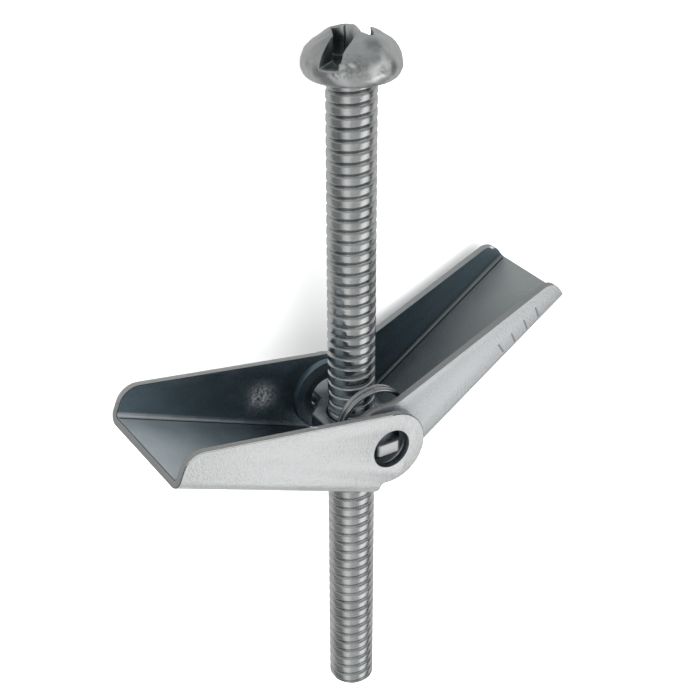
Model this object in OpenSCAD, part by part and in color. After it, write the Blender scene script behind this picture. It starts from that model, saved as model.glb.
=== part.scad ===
// Spring toggle bolt: a round-head machine screw runs through a flat trunnion nut, and two
// channel-shaped sheet wings swing on the nut's tabs. A torsion spring on one tab opens them
// until the edge of each web meets the screw.
// It lies on its side, on the edge of the wider wing. The origin is the centre of the underside
// of the head, +Y points up the screw through the head and +Z points up from the floor.
// Sizes are in millimetres.

/* [Screw] */
// Length of the screw below its head
screw_len = 49.8; // [40:0.2:80]
// Distance of the pivot below the head
pivot_depth = 25.5; // [22:0.5:36]
// Outer diameter of the thread
thread_d = 3.35; // [3:0.05:3.5]
// Length of the bevel at the end of the screw
tip_bevel = 0.45; // [0.2:0.05:0.8]
// Width across the head
head_d = 6.5; // [6:0.1:8]
// Height of the head
head_h = 2.9; // [2.6:0.1:3.3]
// Height of the widest part of the head above its underside
rim_lift = 0.7; // [0.4:0.05:0.9]
// Radius of the rounded edge of the head
rim_r = 1.2; // [1:0.05:1.4]
// Width of the straight slot
slot_w = 1.35; // [1.1:0.05:1.5]
// Depth of the straight slot below the crown
slot_deep = 1.9; // [1.5:0.05:2]
// Turn of the slot about the screw, measured from the line square to the pivot
slot_turn = 31; // [0:1:180]
// Reach across the slot of the two arms of the recess, from the middle
arm_reach = 1.45; // [1.2:0.05:1.8]
// Width of the blunt ends of the arms
arm_tip = 0.3; // [0.2:0.05:0.5]
// Distance along the slot at which the sloping side of an arm meets its middle
arm_flare = 2.1; // [1.6:0.05:2.4]
// Distance along the slot at which the steep side of an arm meets its middle
arm_steep = 0.6; // [0.4:0.05:1]
// Depth of the arms below the crown
arm_deep = 2.1; // [2.05:0.05:2.3]

/* [Nut] */
// Thickness of the nut plate
nut_t = 1.0; // [0.8:0.05:1.1]
// Width of the nut plate at the screw
nut_w = 5.2; // [4.7:0.1:5.4]
// Length of the nut from tab end to tab end
nut_len = 9.7; // [9.5:0.05:9.8]
// Length of the wide middle of the nut
nut_mid = 2.4; // [2:0.1:2.6]
// Length of the nut between the two narrow tabs
nut_body = 5.1; // [4.6:0.1:5.1]
// Width of the tabs
tab_w = 1.95; // [1.6:0.05:2.1]
// Bevel on the corners at the ends of the tabs
tab_bevel = 0.2; // [0.1:0.05:0.4]
// Radial gap between the screw and the nut
thread_gap = 0.05; // [0.02:0.01:0.09]
// Gap left between the tabs and the bottom of the ear holes they hang in
tab_gap = 0.22; // [0.2:0.02:0.4]

/* [Wings] */
// Thickness of the sheet of both wings
sheet = 0.55; // [0.45:0.05:0.6]
// Radius of the round ears at the pivot
ear_r = 2.7; // [2.6:0.05:2.8]
// Diameter of the holes in the ears
ear_hole_d = 2.8; // [2.5:0.05:2.9]
// Outside radius of the bends between web and flanges
bend_r = 0.8; // [0.7:0.05:1]
// Distance that the ends of the web reach past the pivot
web_past = 0.3; // [0.1:0.05:0.5]
// Height of the slanted corner between an ear and the end of the web
nook_h = 0.15; // [0.1:0.01:0.2]
// Gap left between an open web and the screw
stop_gap = 0.05; // [0.03:0.01:0.1]
// How much the round notch in the web is larger than the screw, on the radius
notch_room = 0.4; // [0.3:0.05:0.6]

/* [Outer wing] */
// Slope of the outer wing above the line square to the screw
outer_open = 21.9; // [18:0.1:28]
// Length of the outer wing from the pivot to its end
outer_len = 16; // [14:0.1:19]
// Width of the outer wing over its flanges
outer_w = 10; // [9.8:0.05:10.2]
// Distance that the spring side of the outer wing stands further out
outer_shift = 0.15; // [0:0.05:0.2]
// Gap between the ears of the inner wing and the web of the outer wing
ear_gap = 0.45; // [0.1:0.05:0.5]
// Taper of the outer flanges towards the end
outer_taper = 13.2; // [11:0.1:14]
// Radius of the flange corner at the end of the outer wing
outer_tip_r = 1.5; // [1.2:0.1:2.2]

/* [Inner wing] */
// Slope of the inner wing above the line square to the screw
inner_open = 34.3; // [30:0.1:38]
// Length of the inner wing from the pivot to its end
inner_len = 16.7; // [14:0.1:19]
// Width of the inner wing over its flanges
inner_w = 7.7; // [7.5:0.05:7.8]
// Distance that the spring pushes the inner wing to one side
inner_shift = 0.15; // [0.1:0.05:0.25]
// Gap between the corners of the nut and the web of the inner wing
nut_gap = 0.05; // [0.05:0.05:0.2]
// Taper of the inner flanges towards the end
inner_taper = 10.7; // [9:0.1:12]
// Height of the inner flange edge over the pivot, square to that edge
inner_edge = 1.94; // [1.6:0.02:2.2]
// Radius of the hollow between the ear and the flange edge
neck_r = 3.0; // [2:0.1:4]
// Radius of the flange corner at the end of the inner wing
inner_tip_r = 1.2; // [1:0.1:1.6]

/* [Spring] */
// Diameter of the spring wire
wire_d = 0.38; // [0.3:0.02:0.4]
// Outside diameter of the coil
coil_d = 5.4; // [5.3:0.05:5.5]
// Number of full turns in the coil
turns = 2; // [1:1:2]
// Distance from one turn to the next
coil_pitch = 0.42; // [0.4:0.01:0.44]
// Distance of the middle of the coil from the screw, along the pivot
coil_side = 2.7; // [2.65:0.05:2.75]
// Height of the middle of the coil above the pivot
coil_lift = 1.0; // [0.9:0.05:1.1]
// Distance along each wing at which a spring leg ends
leg_reach = 6; // [5:0.5:8]
// Gap left between a spring leg and the web it presses on
leg_gap = 0.03; // [0.02:0.01:0.06]

/* [Hidden] */
round_fn = 96;
cut = 1;                      // how far a cutting solid stands past what it cuts
ease = 0.02;                  // lets an edge that runs into a curve cross it at a slight angle
screw_r = thread_d / 2;
head_r = head_d / 2;
// the crown is a ball whose surface runs smoothly into the rounded rim
rim_x = head_r - rim_r;
crown_z = (rim_x * rim_x + rim_lift * rim_lift - pow(head_h - rim_r, 2))
    / (2 * (rim_lift - (head_h - rim_r)));
crown_r = head_h - crown_z;
crown_k = crown_r / (crown_r - rim_r);
rim_top = [rim_x * crown_k, crown_z + (rim_lift - crown_z) * crown_k];
rim_foot = rim_x + sqrt(rim_r * rim_r - rim_lift * rim_lift);
// the nut hangs in the ear holes with the lower corners of its tabs near their edge
nut_drop = sqrt(pow(ear_hole_d / 2 - tab_gap, 2) - pow(tab_w / 2, 2)) - nut_t / 2;
nut_swing = sqrt(pow(nut_w / 2, 2) + pow(nut_drop + nut_t / 2, 2));
outer_web = ear_r + ear_gap + sheet;
inner_web = nut_swing + nut_gap + sheet;
wire_r = wire_d / 2;
wire_sides = 8;
coil_r = coil_d / 2 - wire_r;
coil_steps = 28;              // steps of the wire in one turn

// A quarter of the nut's outline, in order round the plate
function nut_corner(x, y) =
    let (quarter = [
        [nut_w / 2, nut_mid / 2],
        [tab_w / 2, nut_body / 2],
        [tab_w / 2, nut_len / 2 - tab_bevel],
        [tab_w / 2 - tab_bevel, nut_len / 2]
    ])
    [for (i = [0:3]) let (p = quarter[x * y > 0 ? i : 3 - i]) [x * p[0], y * p[1]]];

// Turns the upright bolt on its side, with the underside of the head at the origin
module lay() {
    translate([0, -pivot_depth, 0])
        rotate([-90, 0, 0])
            children();
}

// Outline of the head from its axis to its rim
module head_profile() {
    intersection() {
        translate([0, crown_z])
            circle(r = crown_r, $fn = round_fn);
        polygon([
            [0, 0],
            [rim_foot, 0],
            rim_top,
            [rim_top[0], head_h + cut],
            [0, head_h + cut]
        ]);
    }
    intersection() {
        translate([rim_x, rim_lift])
            circle(r = rim_r, $fn = round_fn);
        translate([rim_x, 0])
            square([rim_r + cut, head_h]);
    }
}

// Recess for a driver: a slot right across, and a deeper arm to each side of its middle
module recess() {
    translate([-head_r - cut, -slot_w / 2, head_h - slot_deep])
        cube([head_d + 2 * cut, slot_w, slot_deep + cut]);
    translate([0, 0, head_h - arm_deep])
        linear_extrude(height = arm_deep + cut)
            polygon([
                [-arm_flare, 0],
                [-arm_steep, 0],
                [-arm_tip / 2, -arm_reach],
                [arm_tip / 2, -arm_reach],
                [arm_flare, 0],
                [arm_steep, 0],
                [arm_tip / 2, arm_reach],
                [-arm_tip / 2, arm_reach]
            ]);
}

// One turned and rolled piece: shank with a bevelled end, and a round head with its recess
module machine_screw() {
    color([0.78, 0.79, 0.8])
        lay() {
            translate([0, 0, pivot_depth - screw_len])
                cylinder(h = tip_bevel, r1 = screw_r - tip_bevel, r2 = screw_r, $fn = round_fn);
            translate([0, 0, pivot_depth - screw_len + tip_bevel])
                cylinder(h = screw_len - tip_bevel, r = screw_r, $fn = round_fn);
            translate([0, 0, pivot_depth])
                difference() {
                    rotate_extrude($fn = round_fn)
                        head_profile();
                    rotate([0, 0, slot_turn])
                        recess();
                }
        }
}

// Flat plate with a threaded hole and two narrow tabs that carry the wings
module trunnion_nut() {
    color([0.62, 0.65, 0.7])
        lay()
            difference() {
                translate([0, 0, -nut_drop - nut_t / 2])
                    linear_extrude(height = nut_t)
                        polygon(concat(
                            nut_corner(1, 1),
                            nut_corner(-1, 1),
                            nut_corner(-1, -1),
                            nut_corner(1, -1)
                        ));
                translate([0, 0, -nut_drop - nut_t])
                    cylinder(h = 2 * nut_t, r = screw_r + thread_gap, $fn = round_fn);
            }
}

// Cross-section of a channel: x across the wing, y square to the web, with the pivot at 0
module channel(half_w, web, tall) {
    difference() {
        rounded_block(half_w, web, tall, bend_r);
        rounded_block(half_w - sheet, web - sheet, tall + cut, bend_r - sheet);
    }
}

// Rectangle from the web up, with its two lower corners rounded
module rounded_block(half_w, web, tall, r) {
    for (side = [-1, 1])
        translate([side * (half_w - r), r - web])
            circle(r = r, $fn = round_fn);
    translate([r - half_w, -web])
        square([2 * (half_w - r), web + tall]);
    translate([-half_w, r - web])
        square([2 * half_w, web + tall - r]);
}

// Side view of a wing without its ears: x along the web from the pivot, y square to the web
// The flange edge falls by the taper, and edge is its height over the pivot, square to itself
module side_body(len, web, taper, edge, tip_r) {
    rise = edge / cos(taper);
    mid_x = len - tip_r;
    mid_y = rise - mid_x * tan(taper) - tip_r / cos(taper);
    polygon([
        [-web_past, -web],
        [len, -web],
        [len, mid_y],
        [mid_x, mid_y],
        [mid_x + tip_r * sin(taper), mid_y + tip_r * cos(taper)],
        [edge * sin(taper), edge * cos(taper)],
        [0, 0],
        [-web_past - 2 * nook_h, nook_h - ear_r],
        [-web_past, -ear_r - nook_h]
    ]);
    translate([mid_x, mid_y])
        circle(r = tip_r, $fn = round_fn);
}

// Hollow between the ear and the flange edge, for a wing whose edge lies below the ear's top
module neck(taper, edge) {
    mid_x = sqrt(pow(ear_r + neck_r, 2) - pow(edge + neck_r, 2));
    rotate(-taper)
        difference() {
            polygon([
                [0, 0],
                [mid_x, edge - sheet],
                [mid_x, edge + neck_r]
            ]);
            translate([mid_x, edge + neck_r])
                circle(r = neck_r + ease, $fn = round_fn);
        }
}

// One folded sheet wing, opened to the right by the angle given; children draw its side view
module wing(open, len, half_w, shift, web) {
    stop = (screw_r + stop_gap - (web - sheet) * sin(open)) / cos(open);
    notch_r = screw_r + notch_room;
    rotate([0, -open, 0])
        difference() {
            intersection() {
                translate([-ear_r - cut, -shift, 0])
                    rotate([90, 0, 90])
                        linear_extrude(height = len + ear_r + 2 * cut)
                            channel(half_w, web, ear_r + cut);
                translate([0, half_w + cut, 0])
                    rotate([90, 0, 0])
                        linear_extrude(height = 2 * (half_w + cut))
                            children();
            }
            translate([0, half_w + cut, 0])
                rotate([90, 0, 0])
                    cylinder(h = 2 * (half_w + cut), r = ear_hole_d / 2, $fn = round_fn);
            translate([stop - notch_r, 0, -web - cut])
                cylinder(h = cut + sheet + cut, r = notch_r, $fn = round_fn);
            translate([-ear_r - cut, sheet - half_w - shift, -web - cut])
                cube([ear_r + cut - web_past, 2 * (half_w - sheet), web + cut]);
        }
}

// Wide wing on the left, whose flange edge runs straight off the top of its ears
module outer_wing() {
    color([0.84, 0.86, 0.88])
        lay()
            scale([-1, 1, 1])
                wing(outer_open, outer_len, outer_w / 2, outer_shift, outer_web) {
                    circle(r = ear_r, $fn = round_fn);
                    side_body(outer_len, outer_web, outer_taper, ear_r - ease, outer_tip_r);
                }
}

// Narrow wing on the right, which nests between the flanges of the wide one
module inner_wing() {
    color([0.8, 0.83, 0.87])
        lay()
            wing(inner_open, inner_len, inner_w / 2, inner_shift, inner_web) {
                circle(r = ear_r, $fn = round_fn);
                side_body(inner_len, inner_web, inner_taper, inner_edge, inner_tip_r);
                neck(inner_taper, inner_edge);
            }
}

// End of a spring leg over a web, in the plane square to the pivot
function leg_end(open, web) =
    let (low = web - sheet - wire_r - leg_gap)
    [leg_reach * cos(open) + low * sin(open), leg_reach * sin(open) - low * cos(open)];

// Angle on the coil at which a straight leg to this point leaves it, at the bottom
function leave(end, turn) =
    let (x = end[0], z = end[1] - coil_lift)
    atan2(z, x) + turn * acos(coil_r / sqrt(x * x + z * z));

right_end = leg_end(inner_open, inner_web);
left_end = [-leg_end(outer_open, outer_web)[0], leg_end(outer_open, outer_web)[1]];
right_turn = leave(right_end, -1);
left_turn = leave(left_end, 1) > 0 ? leave(left_end, 1) - 360 : leave(left_end, 1);
sweep = right_turn - left_turn + 360 * turns;
steps = ceil(sweep * coil_steps / 360);
coil_span = coil_pitch * sweep / 360;

// Middle of the wire and its turn about the coil: one leg, the coil, the other leg
wire_path = concat(
    [[right_end[0], coil_span / 2 - coil_side, right_end[1], right_turn]],
    [for (i = [0:steps])
        let (a = right_turn - sweep * i / steps)
        [coil_r * cos(a), coil_span / 2 - coil_side - coil_span * i / steps,
            coil_lift + coil_r * sin(a), a]],
    [[left_end[0], -coil_span / 2 - coil_side, left_end[1], right_turn - sweep]]
);

// One wire: a close coil around the nut's tab with a straight leg onto each wing
module torsion_spring() {
    count = len(wire_path);
    skin = [for (p = wire_path)
        for (j = [0:wire_sides - 1])
            let (b = 360 * j / wire_sides)
            [p[0] + wire_r * cos(b) * cos(p[3]), p[1] + wire_r * sin(b),
                p[2] + wire_r * cos(b) * sin(p[3])]];
    walls = [for (i = [0:count - 2])
        for (j = [0:wire_sides - 1])
            let (n = (j + 1) % wire_sides, a = i * wire_sides, b = a + wire_sides)
            each [[a + j, b + j, b + n], [a + j, b + n, a + n]]];
    ends = [
        [for (j = [0:wire_sides - 1]) j],
        [for (j = [0:wire_sides - 1]) count * wire_sides - 1 - j]
    ];
    color([0.7, 0.72, 0.74])
        lay()
            polyhedron(points = skin, faces = concat(walls, ends), convexity = 8);
}

machine_screw();
trunnion_nut();
outer_wing();
inner_wing();
torsion_spring();
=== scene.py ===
import math
import bmesh
import bpy
from mathutils import Matrix, Vector, noise


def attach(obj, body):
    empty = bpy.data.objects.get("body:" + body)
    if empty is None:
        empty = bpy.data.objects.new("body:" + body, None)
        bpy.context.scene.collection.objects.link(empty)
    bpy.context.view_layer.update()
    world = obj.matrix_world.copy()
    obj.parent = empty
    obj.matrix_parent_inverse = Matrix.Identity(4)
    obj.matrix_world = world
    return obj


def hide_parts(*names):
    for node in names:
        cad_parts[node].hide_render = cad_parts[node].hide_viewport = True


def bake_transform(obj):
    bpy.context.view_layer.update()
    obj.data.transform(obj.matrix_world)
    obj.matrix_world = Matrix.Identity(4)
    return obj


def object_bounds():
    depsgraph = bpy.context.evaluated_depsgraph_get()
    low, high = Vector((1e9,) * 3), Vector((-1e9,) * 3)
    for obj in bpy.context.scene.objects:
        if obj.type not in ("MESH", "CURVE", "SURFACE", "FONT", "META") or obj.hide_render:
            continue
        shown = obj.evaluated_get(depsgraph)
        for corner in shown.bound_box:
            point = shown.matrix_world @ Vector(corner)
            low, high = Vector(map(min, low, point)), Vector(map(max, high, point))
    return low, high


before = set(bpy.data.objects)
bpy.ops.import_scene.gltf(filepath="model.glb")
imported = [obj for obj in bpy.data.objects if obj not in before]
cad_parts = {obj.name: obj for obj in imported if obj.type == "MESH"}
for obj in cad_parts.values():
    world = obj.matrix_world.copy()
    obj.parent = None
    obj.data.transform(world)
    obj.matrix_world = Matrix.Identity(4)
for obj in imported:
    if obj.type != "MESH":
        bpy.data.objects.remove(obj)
cad_box = [list(corner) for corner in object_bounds()]

# ---- Bench, camera and lights ------------------------------------------------
# The bolt lies on its side on a pale bench, on the far side of its wider wing.
# The camera looks down on it, past the head, along the line of the near ears.
bench_z, bench_half = cad_box[0][2], 2
bench_mesh = bpy.data.meshes.new("bench")
bench_corners = [(x * bench_half, y * bench_half, bench_z) for x, y in ((-1, -1), (1, -1), (1, 1), (-1, 1))]
bench_mesh.from_pydata(bench_corners, [], [(0, 1, 2, 3)])
bench = bpy.data.objects.new("bench", bench_mesh)
bpy.context.scene.collection.objects.link(bench)
bench_paint = bpy.data.materials.new("bench_paint")
bench_paint.use_nodes = True
paint_nodes, paint_links = bench_paint.node_tree.nodes, bench_paint.node_tree.links
paint = paint_nodes["Principled BSDF"]
paint.inputs["Roughness"].default_value = 0.7
paint.inputs["Emission Strength"].default_value = 0.14
paint_mottle = paint_nodes.new("ShaderNodeTexNoise")
paint_mottle.inputs["Scale"].default_value = 12
paint_tone = paint_nodes.new("ShaderNodeMapRange")
paint_tone.inputs["To Min"].default_value = 0.94
paint_tone.inputs["To Max"].default_value = 0.97
paint_where = paint_nodes.new("ShaderNodeTexCoord")
paint_links.new(paint_where.outputs["Object"], paint_mottle.inputs["Vector"])
paint_links.new(paint_mottle.outputs["Fac"], paint_tone.inputs["Value"])
paint_links.new(paint_tone.outputs["Result"], paint.inputs["Base Color"])
paint_links.new(paint_tone.outputs["Result"], paint.inputs["Emission Color"])
bench.data.materials.append(bench_paint)
bench.visible_glossy = False

camera = bpy.data.objects.new("camera", bpy.data.cameras.new("camera"))
bpy.context.scene.collection.objects.link(camera)
camera.data.lens = 77.81
camera.data.sensor_width = 36
camera.data.clip_start = 0.005
look, camera_at = Vector((0.4611, -0.5075, -0.7278)), (-0.04838, 0.03296, 0.07617)
right, up = Vector((0.8447, 0, 0.5352)), Vector((0.2716, 0.8616, -0.4287))
camera.matrix_world = Matrix.Translation(camera_at) @ Matrix((right, up, -look)).transposed().to_4x4()
bpy.context.scene.camera = camera
bpy.context.scene.view_settings.view_transform = "Standard"


def soft_box(name, toward, distance, size, power, tall=None, tint=(1, 1, 1)):
    """A flat lamp at that distance from the middle of the bolt, turned to face it."""
    middle = Vector((0, -0.022, 0))
    lamp = bpy.data.objects.new(name, bpy.data.lights.new(name, "AREA"))
    bpy.context.scene.collection.objects.link(lamp)
    lamp.data.shape = "RECTANGLE"
    lamp.data.size = size
    lamp.data.size_y = tall or size
    lamp.data.energy = power
    lamp.data.color = tint
    lamp.location = middle + Vector(toward).normalized() * distance
    lamp.rotation_euler = (middle - lamp.location).to_track_quat("-Z", "Y").to_euler()
    return lamp


ceiling = soft_box("ceiling", (0, 0, 1), 1.2, 2.6, 55)
ceiling.visible_glossy = False

# The room is a light tent about the bolt, with gaps between its panels that polished steel shows as dark bands.
room = bpy.data.worlds.new("room")
bpy.context.scene.world = room
room.use_nodes = True
room_nodes, room_links = room.node_tree.nodes, room.node_tree.links


def filled(tree, sockets, values):
    """Fills each socket of a tree with a plain value, or with a link from another node's output."""
    for socket, value in zip(sockets, values):
        if isinstance(value, bpy.types.NodeSocket):
            tree.links.new(value, socket)
        else:
            socket.default_value = value


def maths_in(tree):
    """Gives the function that adds one step of arithmetic to this tree and hands back its result."""
    def maths(work, *values, clamp=False):
        node = tree.nodes.new("ShaderNodeMath")
        node.operation = work
        node.use_clamp = clamp
        filled(tree, node.inputs, values)
        return node.outputs[0]
    return maths


def ranged(tree, value, ends, smooth=True):
    """Carries a value from one range to another; ends names the sockets that differ from 0 and 1."""
    node = tree.nodes.new("ShaderNodeMapRange")
    if smooth:
        node.interpolation_type = "SMOOTHSTEP"
    tree.links.new(value, node.inputs["Value"])
    filled(tree, [node.inputs[name] for name in ends], ends.values())
    return node.outputs["Result"]


def colour_mix(tree, factor, first, second, blend="MIX"):
    """Mixes two colours, each a plain colour or another node's output."""
    node = tree.nodes.new("ShaderNodeMix")
    node.data_type = "RGBA"
    node.blend_type = blend
    filled(tree, [node.inputs[name] for name in ("Factor", "A", "B")], (factor, first, second))
    return node.outputs["Result"]


def colour_stops(ramp, stops):
    """Sets the places and colours of a ramp."""
    while len(ramp.color_ramp.elements) < len(stops):
        ramp.color_ramp.elements.new(0.5)
    for stop, (place, colour) in zip(ramp.color_ramp.elements, stops):
        stop.position = place
        stop.color = (*colour, 1)


room_math = maths_in(room.node_tree)
room_where = room_nodes.new("ShaderNodeTexCoord")
room_split = room_nodes.new("ShaderNodeSeparateXYZ")
room_links.new(room_where.outputs["Generated"], room_split.inputs["Vector"])
side_x, along_y, side_z = (room_split.outputs[axis] for axis in "XYZ")
to_front = room_math("ADD", room_math("MULTIPLY", side_x, -0.535), room_math("MULTIPLY", side_z, 0.845))
to_right = room_math("ADD", room_math("MULTIPLY", side_x, 0.845), room_math("MULTIPLY", side_z, 0.535))
bearing = room_math("MULTIPLY_ADD", room_math("ARCTAN2", to_right, to_front), 1 / math.tau, 0.5)
panels = room_nodes.new("ShaderNodeValToRGB")
room_links.new(bearing, panels.inputs["Fac"])
panel_glow = [(0.0, 0.5), (0.19, 0.5), (0.25, 0.2), (0.36, 0.18), (0.42, 0.66), (0.46, 0.7), (0.5, 0.42),
              (0.62, 0.38), (0.69, 0.36), (0.72, 0.08), (0.775, 0.08), (0.81, 0.5), (1.0, 0.5)]
colour_stops(panels, [(place, (glow, glow * 0.995, glow * 0.985)) for place, glow in panel_glow])
low = ranged(room.node_tree, along_y, {"From Min": 0.75, "From Max": 0.15})
lid = room_nodes.new("ShaderNodeValToRGB")
room_links.new(room_math("MULTIPLY_ADD", side_z, 0.5, 0.5), lid.inputs["Fac"])
colour_stops(lid, [(0.0, (0.34, 0.35, 0.35)), (0.56, (0.36, 0.37, 0.37)), (0.72, (0.33, 0.345, 0.35)),
                   (0.86, (0.24, 0.26, 0.27)), (1.0, (0.18, 0.2, 0.21))])
# One brighter panel stands where the near sides of both wings reflect it to the camera.
key = room_nodes.new("ShaderNodeVectorMath")
key.operation = "DOT_PRODUCT"
key.inputs[1].default_value = (0.461, -0.508, 0.728)
room_links.new(room_where.outputs["Generated"], key.inputs[0])
key_glow = ranged(room.node_tree, key.outputs["Value"], {"From Min": 0.9, "From Max": 0.975, "To Max": 0.6})
lit = colour_mix(room.node_tree, 1, panels.outputs["Color"], key_glow, "ADD")
tent = colour_mix(room.node_tree, low, lid.outputs["Color"], lit)
camera_ray = room_nodes.new("ShaderNodeLightPath").outputs["Is Camera Ray"]
seen = colour_mix(room.node_tree, camera_ray, tent, (0.95, 0.95, 0.95, 1))
room_links.new(seen, room_nodes["Background"].inputs["Color"])

# ---- Trunnion nut -----------------------------------------------------------
# A small plate of zinc-plated steel, sheared to a six-sided outline with a narrow tab at each end.
# Its tapped hole takes the screw, and its tabs are the pivot of both wings.
def blank_group(name, kind, inputs, outputs):
    """A node group with these named sockets, then what its input node gives and what its output node takes."""
    tree = bpy.data.node_groups.new(name, kind)
    for way, sockets in (("INPUT", inputs), ("OUTPUT", outputs)):
        for label, socket in sockets:
            tree.interface.new_socket(label, in_out=way, socket_type="NodeSocket" + socket)
    return tree, tree.nodes.new("NodeGroupInput").outputs, tree.nodes.new("NodeGroupOutput").inputs


def cloudy(tree, place, scale, detail, roughness=0.5):
    """Smooth noise over the surface, from 0 to 1."""
    node = tree.nodes.new("ShaderNodeTexNoise")
    names = ("Vector", "Scale", "Detail", "Roughness")
    filled(tree, [node.inputs[name] for name in names], (place, scale, detail, roughness))
    return node.outputs["Fac"]


def zinc_bloom_group():
    """Cloudy tone, fine speckle and a little relief, as on zinc plate."""
    tree, given, out = blank_group("zinc_bloom", "ShaderNodeTree", (
        ("Place", "Vector"), ("Light zinc", "Color"), ("Dark zinc", "Color"), ("Cloud scale", "Float"),
        ("Speckle scale", "Float"), ("Speckle", "Float"), ("Smoothest", "Float"), ("Roughest", "Float")),
        (("Colour", "Color"), ("Roughness", "Float"), ("Relief", "Float")))
    maths = maths_in(tree)
    cloud = cloudy(tree, given["Place"], given["Cloud scale"], 5)
    speck = cloudy(tree, given["Place"], given["Speckle scale"], 3)
    spread = ranged(tree, cloud, {"From Min": 0.3, "From Max": 0.7}, smooth=False)
    grain = maths("MULTIPLY", maths("SUBTRACT", speck, 0.5), given["Speckle"])
    both = maths("ADD", spread, grain, clamp=True)
    tree.links.new(colour_mix(tree, both, given["Dark zinc"], given["Light zinc"]), out["Colour"])
    gloss = ranged(tree, both, {"To Min": given["Smoothest"], "To Max": given["Roughest"]}, smooth=False)
    tree.links.new(gloss, out["Roughness"])
    tree.links.new(speck, out["Relief"])
    return tree


zinc_bloom = zinc_bloom_group()


def plated(name, light, dark, cloud, speckle_scale, speckle, smoothest, roughest, relief, depth):
    """A zinc-plated steel whose tone, gloss and fine relief come from the bloom."""
    metal = bpy.data.materials.new(name)
    metal.use_nodes = True
    nodes, links = metal.node_tree.nodes, metal.node_tree.links
    shader = nodes["Principled BSDF"]
    shader.inputs["Metallic"].default_value = 1.0
    where = nodes.new("ShaderNodeTexCoord")
    bloom = nodes.new("ShaderNodeGroup")
    bloom.name = "bloom"
    bloom.node_tree = zinc_bloom
    for socket, value in (("Light zinc", (*light, 1)), ("Dark zinc", (*dark, 1)), ("Cloud scale", cloud),
                          ("Speckle scale", speckle_scale), ("Speckle", speckle),
                          ("Smoothest", smoothest), ("Roughest", roughest)):
        bloom.inputs[socket].default_value = value
    links.new(where.outputs["Object"], bloom.inputs["Place"])
    links.new(bloom.outputs["Colour"], shader.inputs["Base Color"])
    links.new(bloom.outputs["Roughness"], shader.inputs["Roughness"])
    bump = nodes.new("ShaderNodeBump")
    bump.name = "bump"
    bump.inputs["Strength"].default_value = relief
    bump.inputs["Distance"].default_value = depth
    links.new(bloom.outputs["Relief"], bump.inputs["Height"])
    links.new(bump.outputs["Normal"], shader.inputs["Normal"])
    return metal


def pressed_copy(node, name, edge, metal):
    """A closed copy of a frame solid with its edges rounded over."""
    form = bmesh.new()
    form.from_mesh(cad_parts[node].data)
    bmesh.ops.remove_doubles(form, verts=form.verts, dist=1e-6)
    bmesh.ops.dissolve_limit(form, angle_limit=math.radians(0.5), verts=form.verts, edges=form.edges)
    mesh = bpy.data.meshes.new(name)
    form.to_mesh(mesh)
    form.free()
    mesh.materials.clear()
    mesh.materials.append(metal)
    mesh.materials.append(metal)
    mesh.shade_smooth()
    piece = bpy.data.objects.new(name, mesh)
    bpy.context.scene.collection.objects.link(piece)
    rounding = piece.modifiers.new("edge rounding", "BEVEL")
    rounding.width = edge
    rounding.segments = 3
    rounding.material = 1
    rounding.limit_method = "ANGLE"
    rounding.angle_limit = math.radians(40)
    rounding.harden_normals = True
    finished = bpy.data.meshes.new_from_object(piece.evaluated_get(bpy.context.evaluated_depsgraph_get()))
    piece.modifiers.clear()
    piece.data = finished
    finished.name = name
    rim = finished.attributes.new("sheared_edge", "FLOAT", "FACE")
    for face in finished.polygons:
        rim.data[face.index].value = face.material_index
        face.material_index = 0
    finished.materials.pop(index=1)
    return piece


def tinted(metal, mask, colour, rough=None):
    """Lays another tone over the metal where the mask says, and another gloss if one is given."""
    tree = metal.node_tree
    tone, gloss = (tree.nodes["Principled BSDF"].inputs[name] for name in ("Base Color", "Roughness"))
    tree.links.new(colour_mix(tree, mask, tone.links[0].from_socket, (*colour, 1)), tone)
    if rough is not None:
        over = tree.nodes.new("ShaderNodeMix")
        filled(tree, [over.inputs[name] for name in ("Factor", "A", "B")], (mask, gloss.links[0].from_socket, rough))
        tree.links.new(over.outputs["Result"], gloss)


def marked(metal, label, share):
    """A part of what an attribute of the mesh marks out."""
    edge = metal.node_tree.nodes.new("ShaderNodeAttribute")
    edge.attribute_name = label
    return maths_in(metal.node_tree)("MULTIPLY", edge.outputs["Fac"], share)


def note(mesh, label, domain, values):
    """Writes one number for each face or point of the mesh, for its material to read."""
    mesh.attributes.new(label, "FLOAT", domain).data.foreach_set("value", values)


nut_steel = plated("nut_zinc", light=(0.60, 0.655, 0.70), dark=(0.38, 0.42, 0.46), cloud=900, speckle_scale=9000,
                   speckle=0.6, smoothest=0.28, roughest=0.45, relief=0.4, depth=2e-5)
# Painted shade: the nut's rounded edges are darkened.
tinted(nut_steel, marked(nut_steel, "sheared_edge", 0.6), (0.20, 0.22, 0.23))
tinted(nut_steel, marked(nut_steel, "tab_end", 0.9), (0.90, 0.90, 0.89), 0.42)
nut = pressed_copy("trunnion_nut", "nut_plate", 0.00012, nut_steel)
tab_reach = 0.004
note(nut.data, "tab_end", "FACE", [1.0 if abs(face.normal.z) > 0.9 and abs(face.center.z) > tab_reach else 0.0
                                   for face in nut.data.polygons])
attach(nut, "nut")
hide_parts("trunnion_nut")

# ---- Torsion spring ---------------------------------------------------------
# Drawn spring wire in two close turns round the near tab, with a straight leg onto each wing.
# The legs press the wings open.
pivot_y = -0.0255
wire_r, coil_r, coil_side, coil_lift, coil_pitch, turns = 0.00019, 0.00251, 0.0027, 0.001, 0.00042, 2
leg_reach, leg_room, bend_share, sheet = 0.006, 0.00003, 0.14, 0.00055
outer_slope, inner_slope = math.radians(21.9), math.radians(34.3)
outer_web, inner_web = 0.0037, 0.003284


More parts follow.
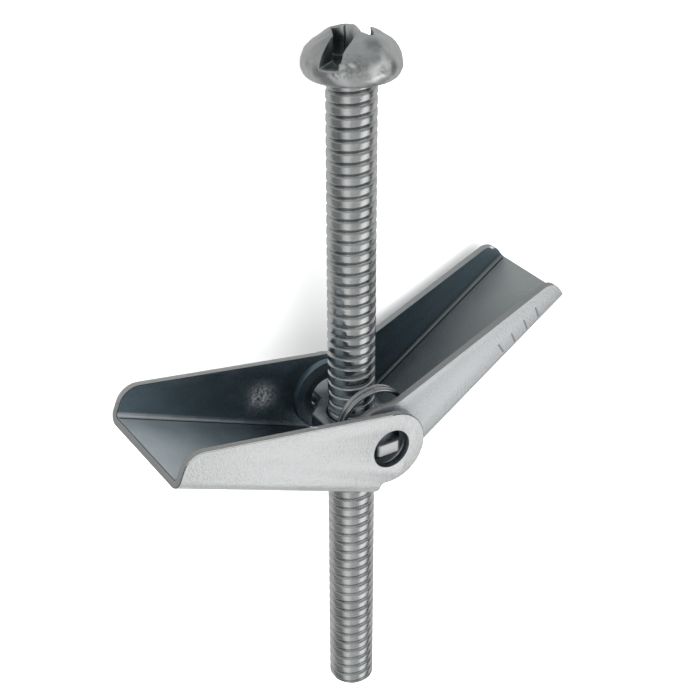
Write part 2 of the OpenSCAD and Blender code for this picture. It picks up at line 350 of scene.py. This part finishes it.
def leg_end(slope, web):
    """Where a leg ends, from the pivot: against the web of its wing, with a little room."""
    low = web - sheet - wire_r - leg_room
    return (leg_reach * math.cos(slope) + low * math.sin(slope), leg_reach * math.sin(slope) - low * math.cos(slope))


def leaving(end, turn):
    """The angle at which a straight leg to that end leaves the coil."""
    x, y = end[0], end[1] - coil_lift
    return math.atan2(y, x) + turn * math.acos(coil_r / math.hypot(x, y))


right_end, left_end = leg_end(inner_slope, inner_web), leg_end(outer_slope, outer_web)
left_end = (-left_end[0], left_end[1])
right_turn, left_turn = leaving(right_end, -1), leaving(left_end, 1)
if left_turn > 0:
    left_turn -= math.tau
sweep = right_turn - left_turn + math.tau * turns
coil_span = coil_pitch * sweep / math.tau


def in_steel(tree, shape, steel):
    """Makes the instances of a shape real and gives it its material."""
    real = tree.nodes.new("GeometryNodeRealizeInstances")
    tree.links.new(shape, real.inputs["Geometry"])
    finish = tree.nodes.new("GeometryNodeSetMaterial")
    tree.links.new(real.outputs["Geometry"], finish.inputs["Geometry"])
    tree.links.new(steel, finish.inputs["Material"])
    return finish.outputs["Geometry"]


def wire_tree(name, coiled):
    """Round wire along a coil about the pivot line, or along a straight line."""
    coil_sizes = ("Coil radius", "Start turn", "Sweep", "Span") if coiled else ()
    tree, given, out = blank_group(name, "GeometryNodeTree", (
        *((label, "Float") for label in coil_sizes), ("Wire radius", "Float"), ("Start", "Vector"), ("End", "Vector"),
        ("Steps", "Int"), ("Wire steel", "Material")), (("Geometry", "Geometry"),))
    nodes, links = tree.nodes, tree.links
    line = nodes.new("GeometryNodeCurvePrimitiveLine")
    links.new(given["Start"], line.inputs["Start"])
    links.new(given["End"], line.inputs["End"])
    fine = nodes.new("GeometryNodeResampleCurve")
    links.new(line.outputs["Curve"], fine.inputs["Curve"])
    links.new(given["Steps"], fine.inputs["Count"])
    path = fine.outputs["Curve"]
    if coiled:
        maths = maths_in(tree)
        along = nodes.new("GeometryNodeSplineParameter").outputs["Factor"]
        angle = maths("MULTIPLY_ADD", along, maths("MULTIPLY", given["Sweep"], -1), given["Start turn"])
        place = nodes.new("ShaderNodeCombineXYZ")
        for axis, work in (("X", "COSINE"), ("Y", "SINE")):
            links.new(maths("MULTIPLY", maths(work, angle), given["Coil radius"]), place.inputs[axis])
        links.new(maths("MULTIPLY", along, given["Span"]), place.inputs["Z"])
        shift = nodes.new("ShaderNodeVectorMath")
        links.new(place.outputs[0], shift.inputs[0])
        links.new(given["Start"], shift.inputs[1])
        bend = nodes.new("GeometryNodeSetPosition")
        links.new(path, bend.inputs["Geometry"])
        links.new(shift.outputs[0], bend.inputs["Position"])
        path = bend.outputs["Geometry"]
    ring = nodes.new("GeometryNodeCurvePrimitiveCircle")
    ring.inputs["Resolution"].default_value = 16
    links.new(given["Wire radius"], ring.inputs["Radius"])
    tube = nodes.new("GeometryNodeCurveToMesh")
    tube.inputs["Fill Caps"].default_value = True
    links.new(path, tube.inputs["Curve"])
    links.new(ring.outputs["Curve"], tube.inputs["Profile Curve"])
    links.new(in_steel(tree, tube.outputs["Mesh"], given["Wire steel"]), out["Geometry"])
    return tree


def grown(name, tree, sizes):
    """The plain mesh that a tree makes with these sizes."""
    piece = bpy.data.objects.new(name, bpy.data.meshes.new(name))
    bpy.context.scene.collection.objects.link(piece)
    maker = piece.modifiers.new("maker", "NODES")
    maker.node_group = tree
    for item in tree.interface.items_tree:
        if item.in_out == "INPUT" and item.name in sizes:
            maker[item.identifier] = sizes[item.name]
    made = bpy.data.meshes.new_from_object(piece.evaluated_get(bpy.context.evaluated_depsgraph_get()))
    piece.modifiers.clear()
    piece.data = made
    made.name = name
    made.shade_smooth()
    return piece


wire_steel = plated("spring_wire", light=(0.78, 0.79, 0.79), dark=(0.45, 0.46, 0.47), cloud=700, speckle_scale=6000,
                    speckle=0.4, smoothest=0.07, roughest=0.17, relief=0.2, depth=1e-5)
coil = grown("spring_coil", wire_tree("coiled_wire", True), {
    "Coil radius": coil_r, "Start turn": right_turn, "Sweep": sweep, "Span": coil_span, "Wire radius": wire_r,
    "Start": (0, pivot_y + coil_lift, coil_side - coil_span / 2), "End": (0, pivot_y, 0), "Steps": 180,
    "Wire steel": wire_steel})
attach(coil, "nut")
straight_wire = wire_tree("straight_wire", False)
legs = []
for name, end, turn, side, wing in (("spring_leg_right", right_end, right_turn, -1, "inner_wing"),
                                    ("spring_leg_left", left_end, left_turn, 1, "outer_wing")):
    depth = coil_side + side * coil_span / 2
    foot = (coil_r * math.cos(turn), pivot_y + coil_lift + coil_r * math.sin(turn), depth)
    tip = (end[0], pivot_y + end[1], depth)
    leg = grown(name, straight_wire, {
        "Wire radius": wire_r, "Start": foot, "End": tip, "Steps": 90, "Wire steel": wire_steel})
    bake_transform(leg)
    legs.append(leg)
for piece in [coil] + legs:
    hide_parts("torsion_spring")

# ---- Inner wing -------------------------------------------------------------
# Zinc-plated sheet, blanked and folded into a narrow channel that nests between the other wing's ears.
# Both ears swing on the nut's tabs, and the cut end of its web stops on the screw.
sheet_steel = plated("sheet_zinc", light=(0.93, 0.94, 0.94), dark=(0.80, 0.82, 0.83), cloud=450, speckle_scale=6500,
                     speckle=2.4, smoothest=0.33, roughest=0.46, relief=0.9, depth=4e-5)
wing_middle, web_room, hole_reach, ear_reach, past_ear = 0.00015, 0.0004, 0.00145, 0.0031, 0.003


def mark_inside(piece, side, slope, web, blue):
    """Notes which faces line the channel or take painted shade, which were sheared, which rounded edges take a painted
    highlight, and how far each lies in the web.
    """
    across = Vector((-side * math.sin(slope), math.cos(slope), 0))
    shaded_faces, in_floor, cut, lit_rims, film, plain = [], [], [], [], [], []
    edge = [0.0] * len(piece.data.polygons)
    piece.data.attributes["sheared_edge"].data.foreach_get("value", edge)
    for face in piece.data.polygons:
        spoke = Vector((face.center.x, face.center.y - pivot_y, 0))
        depth = face.center.z - wing_middle
        faces_in = face.normal.z * depth < -1e-7 and abs(face.normal.z) > 0.7
        in_web = face.normal.dot(across) > 0.3 and spoke.dot(across) < -web + sheet + web_room
        in_hole = spoke.length < hole_reach and face.normal.dot(spoke) < -0.0007
        sheared = abs(face.normal.z) < 0.2 and face.normal.dot(across) > -0.5 and not (in_web or in_hole)
        far_ear = sheared and blue and depth < 0 and spoke.length < ear_reach
        # Painted shade: the channel lining, the faces round the ear holes and the narrow wing's far ear rim are marked
        # here to be darkened.
        shaded_faces.append(1.0 if faces_in or in_web or in_hole or far_ear else 0.0)
        in_floor.append(1.0 - abs(face.normal.z))
        cut.append((1.0 if depth > 0 else 0.7) if sheared and not far_ear else 0.0)
        film.append(0.0 if in_web else blue)
        plain.append(blue if in_web else 0.0)
        # Rounded edges that face out, towards the open side and away from the ears, get a painted highlight; the others
        # keep their painted shade.
        outward = face.normal.z * depth > 0.0002 and face.normal.dot(across) > 0.3 and spoke.length > past_ear
        lit_rims.append(edge[face.index] if outward else 0.0)
    shaded_rims = [full - part for full, part in zip(edge, lit_rims)]
    piece.data.attributes["sheared_edge"].data.foreach_set("value", shaded_rims)
    for label, values in (("shaded_lining", shaded_faces), ("web_side", in_floor), ("cut_face", cut), ("lit_rim", lit_rims),
                          ("blue_film", film), ("plain_web", plain)):
        note(piece.data, label, "FACE", values)


def radius_about(metal, keep, shift=(0, 0, 0)):
    """Distance from a straight line: keep says which axes count, and shift brings the line to the middle."""
    nodes, links = metal.node_tree.nodes, metal.node_tree.links
    flat, radius = nodes.new("ShaderNodeVectorMath"), nodes.new("ShaderNodeVectorMath")
    flat.operation, radius.operation = "MULTIPLY_ADD", "LENGTH"
    flat.inputs[1].default_value, flat.inputs[2].default_value = keep, shift
    links.new(nodes.new("ShaderNodeTexCoord").outputs["Object"], flat.inputs[0])
    links.new(flat.outputs["Vector"], radius.inputs[0])
    return radius.outputs["Value"]


def place_along(metal, axis):
    """One coordinate of the surface."""
    split = metal.node_tree.nodes.new("ShaderNodeSeparateXYZ")
    where = metal.node_tree.nodes.new("ShaderNodeTexCoord")
    metal.node_tree.links.new(where.outputs["Object"], split.inputs["Vector"])
    return split.outputs[axis]


def channel_painted_shade(metal, deep, shallow, haze):
    """Painted shade in a folded channel: its lining is darkened, most near the pivot, and paler and hazier along the
    web to its open end.
    """
    tree, maths = metal.node_tree, maths_in(metal.node_tree)
    lining, floor = (marked(metal, label, 1.0) for label in ("shaded_lining", "web_side"))
    reach = ranged(tree, radius_about(metal, (1, 1, 0), (0, -pivot_y, 0)), {"From Min": 0.004, "From Max": 0.0165})
    open_end = maths("MULTIPLY", reach, floor)
    shade = colour_mix(tree, open_end, (*deep, 1), (*shallow, 1))
    shader = tree.nodes["Principled BSDF"]
    tone = shader.inputs["Base Color"]
    tree.links.new(colour_mix(tree, lining, tone.links[0].from_socket, shade, "MULTIPLY"), tone)
    outer_face = maths("MULTIPLY", maths("SUBTRACT", 1.0, lining), haze[0])
    inner_face = maths("MULTIPLY", maths("MULTIPLY", open_end, lining), haze[1])
    shine = maths("SUBTRACT", 1.0, maths("ADD", outer_face, inner_face), clamp=True)
    tree.links.new(shine, shader.inputs["Metallic"])


tinted(sheet_steel, marked(sheet_steel, "blue_film", 0.5), (0.62, 0.66, 0.69))
channel_painted_shade(sheet_steel, (0.34, 0.42, 0.47), (0.60, 0.66, 0.69), (0.09, 0.3))
tinted(sheet_steel, marked(sheet_steel, "plain_web", 0.6), (0.34, 0.345, 0.335))
tinted(sheet_steel, marked(sheet_steel, "cut_face", 0.85), (0.46, 0.465, 0.465), 0.5)
# Painted shade on the rounded edges, and a painted highlight on the rounded edges that face the light.
tinted(sheet_steel, marked(sheet_steel, "sheared_edge", 0.9), (0.10, 0.11, 0.115))
tinted(sheet_steel, marked(sheet_steel, "lit_rim", 0.8), (0.97, 0.97, 0.96), 0.3)


def pivot_painted_shade(metal, inner, outer, depth, colour):
    """Painted shade, darker and duller, round the tabs where the ears of the two wings overlap."""
    tree, maths = metal.node_tree, maths_in(metal.node_tree)
    near = ranged(tree, radius_about(metal, (1, 1, 0), (0, -pivot_y, 0)),
                  {"From Min": outer, "From Max": inner, "To Max": 0.85})
    within = maths("LESS_THAN", maths("ABSOLUTE", place_along(metal, "Z")), depth)
    tinted(metal, maths("MULTIPLY", near, within), colour, 0.5)


pivot_painted_shade(sheet_steel, inner=0.0018, outer=0.0021, depth=0.0041, colour=(0.12, 0.14, 0.15))


def line_mark_group():
    """A thin straight mark between two points of the sheet."""
    tree, given, out = blank_group("line_mark", "ShaderNodeTree", (
        ("Place", "Vector"), ("From", "Vector"), ("To", "Vector"), ("Core", "Float"), ("Width", "Float"),
        ("Share", "Float")), (("Mask", "Float"),))

    def vector_of(work, first, second, result=0):
        node = tree.nodes.new("ShaderNodeVectorMath")
        node.operation = work
        tree.links.new(first, node.inputs[0])
        if second is not None:
            tree.links.new(second, node.inputs["Scale"] if work == "SCALE" else node.inputs[1])
        return node.outputs[result]

    run = vector_of("SUBTRACT", given["To"], given["From"])
    away = vector_of("SUBTRACT", given["Place"], given["From"])
    share = maths_in(tree)("DIVIDE", vector_of("DOT_PRODUCT", away, run, "Value"),
                           vector_of("DOT_PRODUCT", run, run, "Value"), clamp=True)
    off = vector_of("SUBTRACT", away, vector_of("SCALE", run, share))
    tree.links.new(ranged(tree, vector_of("LENGTH", off, None, "Value"), {
        "From Min": given["Width"], "From Max": given["Core"], "To Max": given["Share"]}), out["Mask"])
    return tree


line_mark = line_mark_group()


def soft_patch_group():
    """A cloudy patch about a point, broken up by grain."""
    tree, given, out = blank_group("soft_patch", "ShaderNodeTree", (
        ("Place", "Vector"), ("Centre", "Vector"), ("Radius", "Float"), ("Grain scale", "Float"), ("Share", "Float")),
        (("Mask", "Float"),))
    off = tree.nodes.new("ShaderNodeVectorMath")
    off.operation = "DISTANCE"
    filled(tree, off.inputs, (given["Place"], given["Centre"]))
    near = ranged(tree, off.outputs["Value"], {"From Min": given["Radius"], "From Max": 0})
    grain = cloudy(tree, given["Place"], given["Grain scale"], 6, 0.65)
    broken = ranged(tree, grain, {"From Min": 0.38, "From Max": 0.6, "To Max": given["Share"]}, smooth=False)
    tree.links.new(maths_in(tree)("MULTIPLY", near, broken), out["Mask"])
    return tree


soft_patch = soft_patch_group()


def dried(metal, mask, share):
    """Takes some of the metal's shine away where the mask says: on the frosty patch, and under painted highlights."""
    shine, maths = metal.node_tree.nodes["Principled BSDF"].inputs["Metallic"], maths_in(metal.node_tree)
    before = shine.links[0].from_socket if shine.links else shine.default_value
    metal.node_tree.links.new(maths("SUBTRACT", before, maths("MULTIPLY", mask, share), clamp=True), shine)


def patched(metal, centre, radius, grain, share, colour, rough=None, dry=0):
    """Lays a tone over a cloudy patch of the metal."""
    nodes, links = metal.node_tree.nodes, metal.node_tree.links
    where = nodes.new("ShaderNodeTexCoord")
    patch = nodes.new("ShaderNodeGroup")
    patch.node_tree = soft_patch
    links.new(where.outputs["Object"], patch.inputs["Place"])
    for socket, value in (("Centre", centre), ("Radius", radius), ("Grain scale", grain), ("Share", share)):
        patch.inputs[socket].default_value = value
    tinted(metal, patch.outputs["Mask"], colour, rough)
    if dry:
        dried(metal, patch.outputs["Mask"], dry)


def on_wing(side, slope, along, over, depth):
    """A point of a wing from its distance along the web, its height over the pivot line and its depth."""
    return (side * (along * math.cos(slope) - over * math.sin(slope)),
            pivot_y + along * math.sin(slope) + over * math.cos(slope), depth)


def line_marks(metal, marks, colour, rough, dry=0):
    """Lays a tone along marks: each has two ends, the half widths of its core and faded edge, and its share."""
    nodes, links = metal.node_tree.nodes, metal.node_tree.links
    where = nodes.new("ShaderNodeTexCoord")
    total = None
    for values in marks:
        mark = nodes.new("ShaderNodeGroup")
        mark.node_tree = line_mark
        links.new(where.outputs["Object"], mark.inputs["Place"])
        for socket, value in zip(("From", "To", "Core", "Width", "Share"), values):
            mark.inputs[socket].default_value = value
        mask = mark.outputs["Mask"]
        total = maths_in(metal.node_tree)("MAXIMUM", total, mask) if total else mask
    tinted(metal, total, colour, rough)
    if dry:
        dried(metal, total, dry)


def on_inner(along, over, depth):
    """A point of the narrow wing."""
    return on_wing(1, inner_slope, along, over, depth)


def on_outer(along, over, depth):
    """A point of the wide wing."""
    return on_wing(-1, outer_slope, along, over, depth)


# Painted shade in the creases along the folds, and four small dark marks of the tool that fed the strip.
fold_shape, feed_shape = (0.00003, 0.00011, 0.95), (0.00002, 0.00012, 0.5)
dark_marks = []
for on_side, web, reach, depths in ((on_inner, inner_web - sheet, 0.0165, (-0.0029, 0.0032)),
                                    (on_outer, outer_web - sheet, 0.0158, (-0.00405, 0.00435))):
    dark_marks += [(on_side(0.002, -web, depth), on_side(reach, -web, depth), *fold_shape) for depth in depths]
feed_drop, feed_side = 0.0008, 0.004
for top, foot, over in ((0.01442, 0.01425, -0.00173), (0.01319, 0.01305, -0.00179), (0.01189, 0.01177, -0.00186),
                        (0.01067, 0.01066, -0.00165)):
    dark_marks.append((on_inner(top, over, feed_side), on_inner(foot, over - feed_drop, feed_side), *feed_shape))
line_marks(sheet_steel, dark_marks, (0.05, 0.06, 0.065), 0.6)
# The far fold of the wider wing catches the light, less and less towards the pivot.
glint_over, glint_side, glint_length = 0.00017 - outer_web + sheet, -0.00426, 0.002
bend_lights = []
for step in range(7):
    start = 0.0158 - glint_length * step
    bend_lights.append((on_outer(start, glint_over, glint_side), on_outer(start - glint_length, glint_over, glint_side),
                        0.00009, 0.00022, 0.9 - 0.13 * step))
line_marks(sheet_steel, bend_lights, (0.93, 0.95, 0.96), 0.35, 0.05)
dried(sheet_steel, marked(sheet_steel, "lit_rim", 1.0), 0.25)
# Painted highlight: a thin light crescent inside the far tip corner of the narrow wing.
corner_light = [on_inner(along, over, -0.0031)
                for along, over in ((0.01585, -0.0007), (0.01625, -0.0010), (0.01645, -0.0015))]
corner_marks = [(*ends, 0.00006, 0.00018, 0.9) for ends in zip(corner_light, corner_light[1:])]
line_marks(sheet_steel, corner_marks, (0.95, 0.96, 0.96), 0.4, 0.6)
patched(sheet_steel, (-0.0049, -0.0247, -0.0043), radius=0.0018, grain=5200, share=1.0, colour=(0.82, 0.80, 0.78),
        rough=0.6, dry=0.4)
# A real burr along the wide wing's near top edge, drawn only as a painted highlight: a light line with a tick at its
# end.
burr_highlights = [(on_outer(0.01314, -0.00062, 0.0046), on_outer(0.0069, 0.001, 0.0046), 0.00003, 0.00012, 0.9),
              (on_outer(0.0071, 0.00093, 0.0046), on_outer(0.0067, 0.00118, 0.0048), 0.00004, 0.00014, 1.0)]
line_marks(sheet_steel, burr_highlights, (0.97, 0.97, 0.96), 0.3)
edge_round = 0.00008
inner_wing = pressed_copy("inner_wing", "narrow_wing", edge_round, sheet_steel)
mark_inside(inner_wing, 1, inner_slope, inner_web, blue=1.0)
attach(inner_wing, "inner_wing")
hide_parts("inner_wing")

# ---- Outer wing -------------------------------------------------------------
# The same sheet, folded into a wider channel whose ears lie outside those of the narrow wing.
# The whole bolt lies on its far side.
outer_wing = pressed_copy("outer_wing", "wide_wing", edge_round, sheet_steel)
mark_inside(outer_wing, -1, outer_slope, outer_web, blue=0.0)
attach(outer_wing, "outer_wing")
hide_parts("outer_wing")

# ---- Machine screw ----------------------------------------------------------
# One piece of steel wire, upset into a round head, slotted, and rolled between dies into a thread.
# It turns in the nut, and its head carries a straight slot crossed by two short flared arms.
screw_end, thread_r, root_r, pitch, tip_bevel = -0.0498, 0.001675, 0.00119, 0.00079375, 0.00045
head_r, head_h, rim_lift, rim_r = 3.25, 2.9, 0.7, 1.2
slot_w, slot_deep, slot_turn = 1.35, 1.9, math.radians(31)
arm_reach, arm_tip, arm_flare, arm_steep, arm_deep = 1.45, 0.3, 2.1, 0.6, 2.1


def rolled_thread_tree():
    """A right-hand thread on a rod along Y: rows of points follow the helix, so each crest is one clean edge."""
    tree, given, out = blank_group("rolled_thread", "GeometryNodeTree", (
        ("Bottom", "Float"), ("Pitch", "Float"), ("Crest radius", "Float"), ("Root radius", "Float"),
        ("Bevel", "Float"), ("Crest fullness", "Float"), ("Turns", "Int"), ("Steps round", "Int"),
        ("Steps in a pitch", "Int"), ("Screw steel", "Material")), (("Geometry", "Geometry"),))
    nodes, links, maths = tree.nodes, tree.links, maths_in(tree)
    run_in, core_r = 2.5, 0.0005
    grid = nodes.new("GeometryNodeMeshGrid")
    grid.inputs["Size X"].default_value = 1
    grid.inputs["Size Y"].default_value = 1
    rows = maths("MULTIPLY", given["Turns"], given["Steps in a pitch"])
    links.new(maths("ADD", given["Steps round"], 1), grid.inputs["Vertices X"])
    links.new(maths("ADD", rows, 1), grid.inputs["Vertices Y"])
    at = nodes.new("ShaderNodeSeparateXYZ")
    links.new(nodes.new("GeometryNodeInputPosition").outputs[0], at.inputs[0])
    round_share = maths("ADD", at.outputs["X"], 0.5)
    turn_count = maths("MULTIPLY", maths("ADD", at.outputs["Y"], 0.5), given["Turns"])
    lift = maths("MULTIPLY", maths("ADD", turn_count, maths("SUBTRACT", round_share, run_in)), given["Pitch"])
    height = maths("ADD", lift, given["Bottom"])
    ridge = maths("ABSOLUTE", maths("MULTIPLY_ADD", maths("FRACT", turn_count), 2.0, -1.0))
    barrel = maths("SUBTRACT", 1.0, maths("POWER", maths("SUBTRACT", 1.0, ridge), given["Crest fullness"]))
    depth = maths("SUBTRACT", given["Crest radius"], given["Root radius"])
    profile = maths("MULTIPLY_ADD", barrel, depth, given["Root radius"])
    bevel_edge = maths("ADD", maths("SUBTRACT", height, given["Bottom"]),
                       maths("SUBTRACT", given["Crest radius"], given["Bevel"]))
    radius = maths("MAXIMUM", maths("MINIMUM", profile, bevel_edge), core_r)
    angle = maths("MULTIPLY", round_share, math.tau)
    place = nodes.new("ShaderNodeCombineXYZ")
    links.new(maths("MULTIPLY", maths("COSINE", angle), radius), place.inputs["X"])
    links.new(height, place.inputs["Y"])
    links.new(maths("MULTIPLY", maths("MULTIPLY", maths("SINE", angle), radius), -1.0), place.inputs["Z"])
    wrap = nodes.new("GeometryNodeSetPosition")
    links.new(grid.outputs["Mesh"], wrap.inputs["Geometry"])
    links.new(place.outputs[0], wrap.inputs["Position"])
    seam = nodes.new("GeometryNodeMergeByDistance")
    seam.inputs["Distance"].default_value = 2e-7
    links.new(wrap.outputs["Geometry"], seam.inputs["Geometry"])
    links.new(in_steel(tree, seam.outputs["Geometry"], given["Screw steel"]), out["Geometry"])
    return tree


screw_steel = plated("screw_zinc", light=(0.84, 0.85, 0.85), dark=(0.60, 0.62, 0.63), cloud=600, speckle_scale=5000,
                     speckle=0.7, smoothest=0.13, roughest=0.27, relief=0.3, depth=2e-5)


def groove_painted_shade(metal, inner, outer):
    """Painted shade at the bottom of the thread: told by distance from the screw's axis."""
    maths = maths_in(metal.node_tree)
    deep = ranged(metal.node_tree, radius_about(metal, (1, 0, 1)), {"From Min": outer, "From Max": inner})
    return maths("MULTIPLY", deep, maths("LESS_THAN", place_along(metal, "Y"), 0))


tinted(screw_steel, groove_painted_shade(screw_steel, 0.00125, 0.0015), (0.12, 0.13, 0.135), 0.4)
patched(screw_steel, (-0.0014, 0.0014, 0.0028), radius=0.0011, grain=3000, share=0.8, colour=(0.24, 0.25, 0.255),
        rough=0.4)
# Painted shade in the slot and arms of the head, darker the deeper they are sunk.
tinted(screw_steel, marked(screw_steel, "recess", 0.95), (0.14, 0.17, 0.18), 0.3)
tinted(screw_steel, marked(screw_steel, "head", 0.14), (0.75, 0.76, 0.76), 1.0)
patched(screw_steel, (0.0003, 0.0023, 0.0022), radius=0.001, grain=900, share=0.8, colour=(0.20, 0.22, 0.23), rough=0.4)
# Painted highlight: a light, cloudy patch low on the near side of the head.
patched(screw_steel, (0.0002, 0.001, 0.0032), radius=0.0014, grain=1300, share=0.9, colour=(0.88, 0.88, 0.87),
        rough=0.35, dry=0.3)
shank = grown("threaded_shank", rolled_thread_tree(), {
    "Bottom": screw_end, "Pitch": pitch, "Crest radius": thread_r, "Root radius": root_r, "Bevel": tip_bevel,
    "Crest fullness": 6.5, "Turns": 67, "Steps round": 48, "Steps in a pitch": 16, "Screw steel": screw_steel})
trim = bmesh.new()
trim.from_mesh(shank.data)
into_head = 0.0003
for height, outward in ((screw_end, -1), (into_head, 1)):
    bmesh.ops.bisect_plane(trim, geom=trim.verts[:] + trim.edges[:] + trim.faces[:], dist=1e-8,
                           plane_co=(0, height, 0), plane_no=(0, outward, 0), clear_outer=True)
    rim = [e for e in trim.edges if e.is_boundary and all(abs(v.co.y - height) < 1e-7 for v in e.verts)]
    bmesh.ops.contextual_create(trim, geom=rim)
bmesh.ops.recalc_face_normals(trim, faces=trim.faces)
trim.to_mesh(shank.data)
trim.free()

rim_x = head_r - rim_r
crown_y = (rim_x ** 2 + rim_lift ** 2 - (head_h - rim_r) ** 2) / (2 * (rim_lift - (head_h - rim_r)))
crown_r = head_h - crown_y
meet = crown_r / (crown_r - rim_r)
crown_turn = math.atan2(rim_x * meet, (rim_lift - crown_y) * meet)
foot_turn = math.asin(-rim_lift / rim_r)
rim_start, crown_steps, rim_steps = math.pi / 2 - crown_turn, 24, 14
outline = []
for i in range(crown_steps + 1):
    angle = crown_turn * i / crown_steps
    outline.append((crown_r * math.sin(angle), crown_y + crown_r * math.cos(angle)))
for i in range(1, rim_steps + 1):
    angle = rim_start + (foot_turn - rim_start) * i / rim_steps
    outline.append((rim_x + rim_r * math.cos(angle), rim_lift + rim_r * math.sin(angle)))
outline.append((0.0, outline[-1][1]))


def mm_object(name, form):
    """An object in millimetres, in which the head is shaped before it shrinks to metres."""
    mesh = bpy.data.meshes.new(name)
    bmesh.ops.recalc_face_normals(form, faces=form.faces)
    form.to_mesh(mesh)
    form.free()
    thing = bpy.data.objects.new(name, mesh)
    bpy.context.scene.collection.objects.link(thing)
    return thing


turned = bmesh.new()
profile = [turned.verts.new((x, y, 0)) for x, y in outline]
lines = [turned.edges.new(pair) for pair in zip(profile, profile[1:])]
bmesh.ops.spin(turned, geom=profile + lines, cent=(0, 0, 0), axis=(0, 1, 0), angle=math.tau, steps=96,
               use_duplicate=False)
bmesh.ops.remove_doubles(turned, verts=turned.verts, dist=1e-5)
head = mm_object("screw_head", turned)
slot_form = bmesh.new()
bmesh.ops.create_cube(slot_form, size=1)
bmesh.ops.scale(slot_form, vec=(10, 4, slot_w), verts=slot_form.verts)
bmesh.ops.translate(slot_form, vec=(0, head_h - slot_deep + 2, 0), verts=slot_form.verts)
arm_form = bmesh.new()
corners = [(-arm_flare, 0), (-arm_steep, 0), (-arm_tip / 2, arm_reach), (arm_tip / 2, arm_reach),
           (arm_flare, 0), (arm_steep, 0), (arm_tip / 2, -arm_reach), (-arm_tip / 2, -arm_reach)]
floor_ring = [arm_form.verts.new((x, head_h - arm_deep, z)) for x, z in corners]
top_ring = [arm_form.verts.new((x, head_h + 1, z)) for x, z in corners]
arm_form.faces.new(floor_ring)
arm_form.faces.new(top_ring[::-1])
for i in range(len(corners)):
    after = (i + 1) % len(corners)
    arm_form.faces.new((floor_ring[i], floor_ring[after], top_ring[after], top_ring[i]))
for name, form in (("slot_cutter", slot_form), ("arm_cutter", arm_form)):
    bmesh.ops.rotate(form, cent=(0, 0, 0), matrix=Matrix.Rotation(slot_turn, 3, "Y"), verts=form.verts)
    cutter = mm_object(name, form)
    cutting = head.modifiers.new(name, "BOOLEAN")
    cutting.operation = "DIFFERENCE"
    cutting.object = cutter
    cutting.solver = "EXACT"
skin = head.modifiers.new("even skin", "REMESH")
skin.mode = "VOXEL"
skin.voxel_size = 0.055
soften = head.modifiers.new("worn edges", "SMOOTH")
soften.factor = 0.5
soften.iterations = 3
shaped = bpy.data.meshes.new_from_object(head.evaluated_get(bpy.context.evaluated_depsgraph_get()))
head.modifiers.clear()
head.data = shaped
for name in ("slot_cutter", "arm_cutter"):
    bpy.data.objects.remove(bpy.data.objects[name])
burr_at, burr_reach = Vector((-2.02, 1.4, 2.28)), 0.85


def waviness(place, waves):
    """Smooth noise added up from waves, each given by its height in millimetres and its fineness."""
    return sum(height * noise.noise(place * fineness) for height, fineness in waves)


moved = []
for point in shaped.vertices:
    firm = min(1.0, max(0.0, (point.co.y - 0.3) / 0.4))
    near = max(0.0, 1 - (point.co - burr_at).length / burr_reach)
    swell = waviness(point.co, ((0.10, 0.8), (0.035, 1.9)))
    swell += near ** 0.7 * waviness(point.co, ((0.18, 2.2), (0.09, 5)))
    moved.extend(point.co + point.normal * (swell * firm))
shaped.vertices.foreach_set("co", moved)
shaped.transform(Matrix.Scale(0.001, 4))
shaped.materials.clear()
shaped.materials.append(screw_steel)
shaped.shade_smooth()
join = shank.modifiers.new("one piece", "BOOLEAN")
join.operation = "UNION"
join.object = head
join.solver = "EXACT"
whole = bpy.data.meshes.new_from_object(shank.evaluated_get(bpy.context.evaluated_depsgraph_get()))
shank.modifiers.clear()
shank.data = whole
bpy.data.objects.remove(head)
screw = shank
screw.name = whole.name = "round_head_screw"
on_head, sunk = [], []
for point in whole.vertices:
    x, y, z = point.co * 1000
    depth = crown_y + math.sqrt(max(0.0, crown_r ** 2 - x * x - z * z)) - y
    on_head.append(1.0 if y > 0.05 else 0.0)
    sunk.append(min(1.0, max(0.0, (depth - 0.2) / 0.8)) if y > 0.75 else 0.0)
note(whole, "head", "POINT", on_head)
note(whole, "recess", "POINT", sunk)
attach(screw, "screw")
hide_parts("machine_screw")
